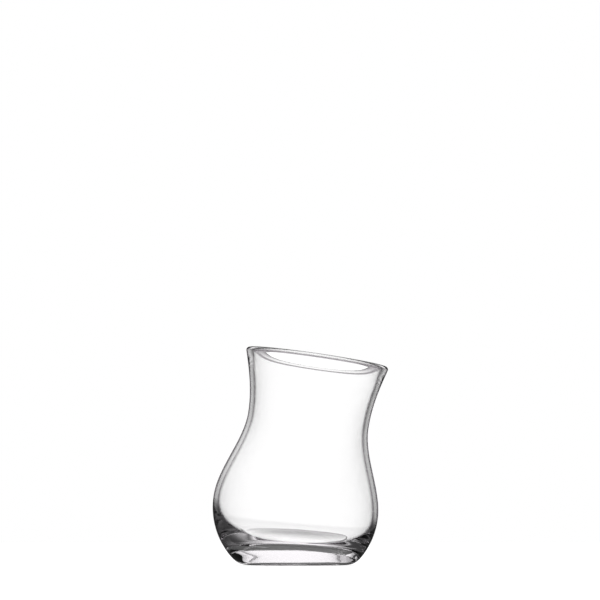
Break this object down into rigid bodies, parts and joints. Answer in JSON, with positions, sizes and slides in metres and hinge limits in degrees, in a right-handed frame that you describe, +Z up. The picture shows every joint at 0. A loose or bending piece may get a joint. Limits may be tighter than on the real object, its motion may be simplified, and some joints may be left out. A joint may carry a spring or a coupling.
{
  "type": "tea glass",
  "caption": "Clear slim-waisted tea glass that leans on a flat-cut heavy base, with a round belly, thin flared wall and rounded lip.",
  "frame": {"origin": "middle of the flat foot, on the table", "axes": "+Z up from the table; +X the way the glass leans; the viewer of the picture looks along +Y"},
  "size_m": [0.0677, 0.0638, 0.0841],
  "materials": {
    "glass": "clear, fire-polished"
  },
  "bodies": {
    "root": {"base": "glass", "belly": "glass", "waist": "glass", "rim": "glass"}
  },
  "joints": []
}
